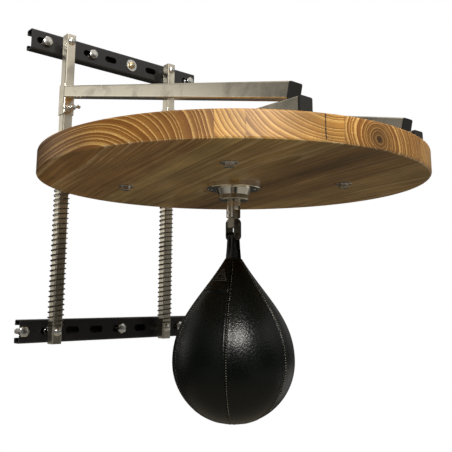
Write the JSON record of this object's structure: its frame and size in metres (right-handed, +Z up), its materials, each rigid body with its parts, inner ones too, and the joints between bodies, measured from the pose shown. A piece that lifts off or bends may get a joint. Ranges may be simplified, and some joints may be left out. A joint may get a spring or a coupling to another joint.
{
  "type": "speed bag platform",
  "caption": "Wall-mounted round wooden rebound board on sliding square posts with clamp screws and coil springs, carrying a swivel and a pear-shaped leather bag.",
  "frame": {"origin": "on the wall plane that the rails' back lips lie on, midway between the two posts and midway between the two rails", "axes": "+X along the wall to the right as seen from the room, +Y into the wall, +Z up"},
  "size_m": [0.5999, 0.693, 0.6884],
  "materials": {
    "black_paint": "gloss",
    "stainless": "brushed",
    "zinc": "satin",
    "brass": "satin",
    "chrome": "polished",
    "dark_steel": "satin",
    "black_plastic": "matt",
    "board_wood": "varnished",
    "bag_leather": "satin",
    "bladder_rubber": "matt"
  },
  "bodies": {
    "wall_frame": {"upper_rail": "black_paint", "lower_rail": "black_paint", "left_post": "stainless", "right_post": "stainless", "post_spacers": "zinc", "post_bolts": "zinc", "post_nuts": "zinc", "upper_wall_bolts": "zinc", "lower_wall_bolts": "zinc", "brass_washer": "zinc", "brass_bolt": "brass", "left_spring": "stainless", "right_spring": "stainless"},
    "carriage": {"left_upper_sleeve": "stainless", "right_upper_sleeve": "stainless", "left_lower_sleeve": "stainless", "right_lower_sleeve": "stainless", "left_beam": "stainless", "right_beam": "stainless", "left_brace": "stainless", "right_brace": "stainless", "beam_caps": "black_plastic", "brace_caps": "black_plastic", "clamp_nuts": "zinc", "board": "board_wood", "board_bolts": "zinc", "board_washers": "zinc", "board_nuts": "zinc", "swivel_flange": "chrome", "flange_screws": "dark_steel", "swivel_collar": "chrome", "bearing_outer_ring": "chrome"},
    "left_clamp": {"left_clamp_screw": "zinc", "left_clamp_bar": "zinc"},
    "right_clamp": {"right_clamp_screw": "zinc", "right_clamp_bar": "zinc"},
    "swivel": {"spindle": "chrome", "spindle_nut": "zinc", "bearing_inner_ring": "chrome", "tongue_pin": "zinc"},
    "tongue": {"tongue": "zinc"},
    "link": {"front_link_plate": "dark_steel", "rear_link_plate": "dark_steel", "upper_link_pin": "dark_steel", "lower_link_pin": "dark_steel"},
    "bag": {"leather_loop": "bag_leather", "bag_cover": "bag_leather", "bladder": "bladder_rubber"}
  },
  "joints": [
    {"name": "height_slide", "type": "slide", "parent": "wall_frame", "child": "carriage", "axis": [0, 0, 1], "range_m": [-0.11, 0.06], "deforming": ["left_spring", "right_spring"]},
    {"name": "left_clamp_turn", "type": "hinge", "parent": "carriage", "child": "left_clamp", "pos_m": [-0.12, -0.0581, 0.136], "axis": [0, -1, 0], "range_deg": [-180, 180]},
    {"name": "right_clamp_turn", "type": "hinge", "parent": "carriage", "child": "right_clamp", "pos_m": [0.12, -0.0581, 0.136], "axis": [0, -1, 0], "range_deg": [-180, 180]},
    {"name": "swivel_spin", "type": "hinge", "parent": "carriage", "child": "swivel", "pos_m": [0, -0.388, -0.06], "axis": [0, 0, 1], "continuous": true},
    {"name": "tongue_swing", "type": "hinge", "parent": "swivel", "child": "tongue", "pos_m": [0, -0.388, -0.0827], "axis": [1, 0, 0], "range_deg": [-60, 60]},
    {"name": "link_swing", "type": "hinge", "parent": "tongue", "child": "link", "pos_m": [0, -0.388, -0.0995], "axis": [0, 1, 0], "range_deg": [-32, 32]},
    {"name": "bag_swing", "type": "hinge", "parent": "link", "child": "bag", "pos_m": [0, -0.388, -0.1185], "axis": [0, 1, 0], "range_deg": [-32, 32]}
  ]
}
